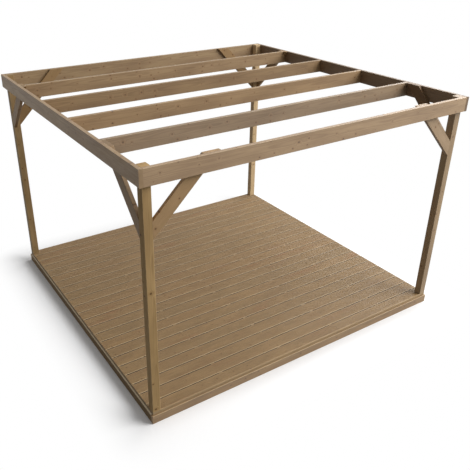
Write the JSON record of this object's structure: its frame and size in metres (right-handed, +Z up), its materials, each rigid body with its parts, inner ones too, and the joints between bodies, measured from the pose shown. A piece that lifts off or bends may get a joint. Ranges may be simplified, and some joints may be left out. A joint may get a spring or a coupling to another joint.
{
  "type": "wooden garden pergola with a deck",
  "caption": "Open timber pergola: square posts with knee braces carry a flat frame of beams and rafters over a low boarded deck; for shade and seating outdoors.",
  "frame": {"origin": "centre of the footprint on the ground", "axes": "+X runs to the right along the front, +Y from the front to the back, +Z up; metres"},
  "size_m": [3.6, 3.415, 2.4],
  "materials": {
    "frame_timber": "planed softwood with a brown pressure treatment, knots, matt",
    "deck_timber": "planed softwood with a brown pressure treatment, matt",
    "board_timber": "grooved softwood deck boards with a brown pressure treatment, matt"
  },
  "bodies": {
    "root": {"post_front_left": "frame_timber", "post_front_right": "frame_timber", "post_back_left": "frame_timber", "post_back_right": "frame_timber", "beam_left": "frame_timber", "beam_right": "frame_timber", "beam_front": "frame_timber", "beam_back": "frame_timber", "rafter_1": "frame_timber", "rafter_2": "frame_timber", "rafter_3": "frame_timber", "rafter_4": "frame_timber", "brace_front_left": "frame_timber", "brace_front_right": "frame_timber", "brace_back_left": "frame_timber", "brace_back_right": "frame_timber", "brace_side_front_left": "frame_timber", "brace_side_front_right": "frame_timber", "brace_side_back_left": "frame_timber", "brace_side_back_right": "frame_timber", "deck_rim_front": "deck_timber", "deck_rim_back": "deck_timber", "deck_rim_left": "deck_timber", "deck_rim_right": "deck_timber", "deck_joist_1": "deck_timber", "deck_joist_2": "deck_timber", "deck_joist_3": "deck_timber", "deck_joist_4": "deck_timber", "deck_boards": "board_timber"}
  },
  "joints": []
}
